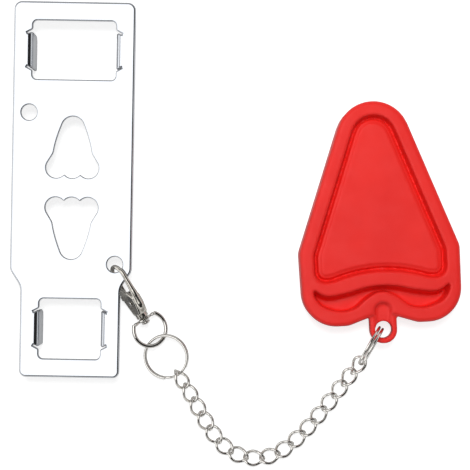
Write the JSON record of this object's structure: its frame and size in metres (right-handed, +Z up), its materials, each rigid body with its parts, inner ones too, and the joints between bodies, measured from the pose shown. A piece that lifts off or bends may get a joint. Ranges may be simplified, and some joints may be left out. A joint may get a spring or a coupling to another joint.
{
  "type": "portable door lock",
  "caption": "Portable travel door lock: a clawed steel plate for the strike hole, and a red wedge handle kept with it by a chain, rings and a swivel clasp.",
  "frame": {"origin": "centre of the whole part's box, on the surface it lies on", "axes": "+Z up from that surface, +Y along the plate towards its wider end, +X from the plate towards the handle"},
  "size_m": [0.192, 0.2, 0.0187],
  "materials": {
    "polished_steel": "polished sheet",
    "nickel_plate": "bright nickel plate",
    "cast_nickel": "tumbled casting, nickel plated",
    "spring_steel": "drawn wire",
    "red_moulding": "moulded, satin gloss"
  },
  "bodies": {
    "plate": {"door_plate": "polished_steel"},
    "clasp": {"clasp_hook": "cast_nickel", "gate_pin": "nickel_plate", "gate_spring": "spring_steel", "swivel_rivet": "nickel_plate"},
    "gate": {"clasp_gate": "cast_nickel"},
    "swivel": {"swivel_ring": "nickel_plate"},
    "key_ring": {"key_ring": "nickel_plate"},
    "link_01": {"chain_link_01": "nickel_plate"},
    "link_02": {"chain_link_02": "nickel_plate"},
    "link_03": {"chain_link_03": "nickel_plate"},
    "link_04": {"chain_link_04": "nickel_plate"},
    "link_05": {"chain_link_05": "nickel_plate"},
    "link_06": {"chain_link_06": "nickel_plate"},
    "link_07": {"chain_link_07": "nickel_plate"},
    "link_08": {"chain_link_08": "nickel_plate"},
    "link_09": {"chain_link_09": "nickel_plate"},
    "link_10": {"chain_link_10": "nickel_plate"},
    "link_11": {"chain_link_11": "nickel_plate"},
    "link_12": {"chain_link_12": "nickel_plate"},
    "link_13": {"chain_link_13": "nickel_plate"},
    "link_14": {"chain_link_14": "nickel_plate"},
    "link_15": {"chain_link_15": "nickel_plate"},
    "link_16": {"chain_link_16": "nickel_plate"},
    "link_17": {"chain_link_17": "nickel_plate"},
    "handle_ring": {"handle_ring": "nickel_plate"},
    "handle": {"handle": "red_moulding"}
  },
  "joints": [
    {"name": "clasp_swing", "type": "hinge", "parent": "plate", "child": "clasp", "pos_m": [-0.05134, -0.01231, 0.00975], "axis": [0, 0, 1], "range_deg": [-5, 45]},
    {"name": "gate_turn", "type": "hinge", "parent": "clasp", "child": "gate", "pos_m": [-0.04339, -0.02808, 0.00686], "axis": [0.7029, 0.4812, -0.5238], "range_deg": [0, 12], "stiffness_Nm_per_rad": 0.02, "springref_deg": -17.19, "deforming": ["gate_spring"]},
    {"name": "swivel_turn", "type": "hinge", "parent": "clasp", "child": "swivel", "pos_m": [-0.03986, -0.03488, 0.00534], "axis": [-0.4792, 0.8646, 0.1513], "continuous": true},
    {"name": "key_ring_swing", "type": "hinge", "parent": "swivel", "child": "key_ring", "pos_m": [-0.03335, -0.04664, 0.00329], "axis": [-0.1624, -0.09, 0.9826], "range_deg": [-6, 22]},
    {"name": "link_01_swing", "type": "hinge", "parent": "key_ring", "child": "link_01", "pos_m": [-0.02562, -0.05898, 0.00345], "axis": [0, 0, 1], "range_deg": [-25, 25]},
    {"name": "link_02_swing", "type": "hinge", "parent": "link_01", "child": "link_02", "pos_m": [-0.02168, -0.06482, 0.00297], "axis": [0, 0, -1], "range_deg": [-25, 25]},
    {"name": "link_03_swing", "type": "hinge", "parent": "link_02", "child": "link_03", "pos_m": [-0.01816, -0.07093, 0.00256], "axis": [0, 0, 1], "range_deg": [-25, 25]},
    {"name": "link_04_swing", "type": "hinge", "parent": "link_03", "child": "link_04", "pos_m": [-0.01485, -0.07715, 0.00222], "axis": [0, 0, -1], "range_deg": [-25, 25]},
    {"name": "link_05_swing", "type": "hinge", "parent": "link_04", "child": "link_05", "pos_m": [-0.01132, -0.08327, 0.00198], "axis": [0, 0, 1], "range_deg": [-25, 25]},
    {"name": "link_06_swing", "type": "hinge", "parent": "link_05", "child": "link_06", "pos_m": [-0.00737, -0.08912, 0.00187], "axis": [0, 0, -1], "range_deg": [-25, 25]},
    {"name": "link_07_swing", "type": "hinge", "parent": "link_06", "child": "link_07", "pos_m": [-0.00204, -0.09375, 0.00186], "axis": [0, 0, 1], "range_deg": [-25, 25]},
    {"name": "link_08_swing", "type": "hinge", "parent": "link_07", "child": "link_08", "pos_m": [0.00455, -0.09628, 0.00186], "axis": [0, 0, -1], "range_deg": [-25, 25]},
    {"name": "link_09_swing", "type": "hinge", "parent": "link_08", "child": "link_09", "pos_m": [0.01161, -0.09652, 0.00186], "axis": [0, 0, 1], "range_deg": [-25, 25]},
    {"name": "link_10_swing", "type": "hinge", "parent": "link_09", "child": "link_10", "pos_m": [0.01836, -0.09446, 0.00186], "axis": [0, 0, -1], "range_deg": [-25, 25]},
    {"name": "link_11_swing", "type": "hinge", "parent": "link_10", "child": "link_11", "pos_m": [0.02407, -0.09031, 0.00186], "axis": [0, 0, 1], "range_deg": [-25, 25]},
    {"name": "link_12_swing", "type": "hinge", "parent": "link_11", "child": "link_12", "pos_m": [0.02923, -0.0855, 0.00186], "axis": [0, 0, -1], "range_deg": [-25, 25]},
    {"name": "link_13_swing", "type": "hinge", "parent": "link_12", "child": "link_13", "pos_m": [0.03396, -0.08025, 0.00189], "axis": [0, 0, 1], "range_deg": [-25, 25]},
    {"name": "link_14_swing", "type": "hinge", "parent": "link_13", "child": "link_14", "pos_m": [0.03839, -0.07477, 0.00217], "axis": [0, 0, -1], "range_deg": [-25, 25]},
    {"name": "link_15_swing", "type": "hinge", "parent": "link_14", "child": "link_15", "pos_m": [0.04263, -0.06915, 0.00278], "axis": [0, 0, 1], "range_deg": [-25, 25]},
    {"name": "link_16_swing", "type": "hinge", "parent": "link_15", "child": "link_16", "pos_m": [0.04653, -0.06377, 0.00383], "axis": [0, 0, -1], "range_deg": [-25, 25]},
    {"name": "link_17_swing", "type": "hinge", "parent": "link_16", "child": "link_17", "pos_m": [0.05039, -0.05847, 0.00535], "axis": [0, 0, 1], "range_deg": [-25, 25]},
    {"name": "handle_ring_swing", "type": "hinge", "parent": "link_17", "child": "handle_ring", "pos_m": [0.05419, -0.05323, 0.0072], "axis": [0, 0, 1], "range_deg": [-25, 5]},
    {"name": "handle_lift", "type": "hinge", "parent": "handle_ring", "child": "handle", "pos_m": [0.05771, -0.04707, 0.00943], "axis": [0.8501, -0.4908, 0.1908], "range_deg": [0, 120]}
  ]
}
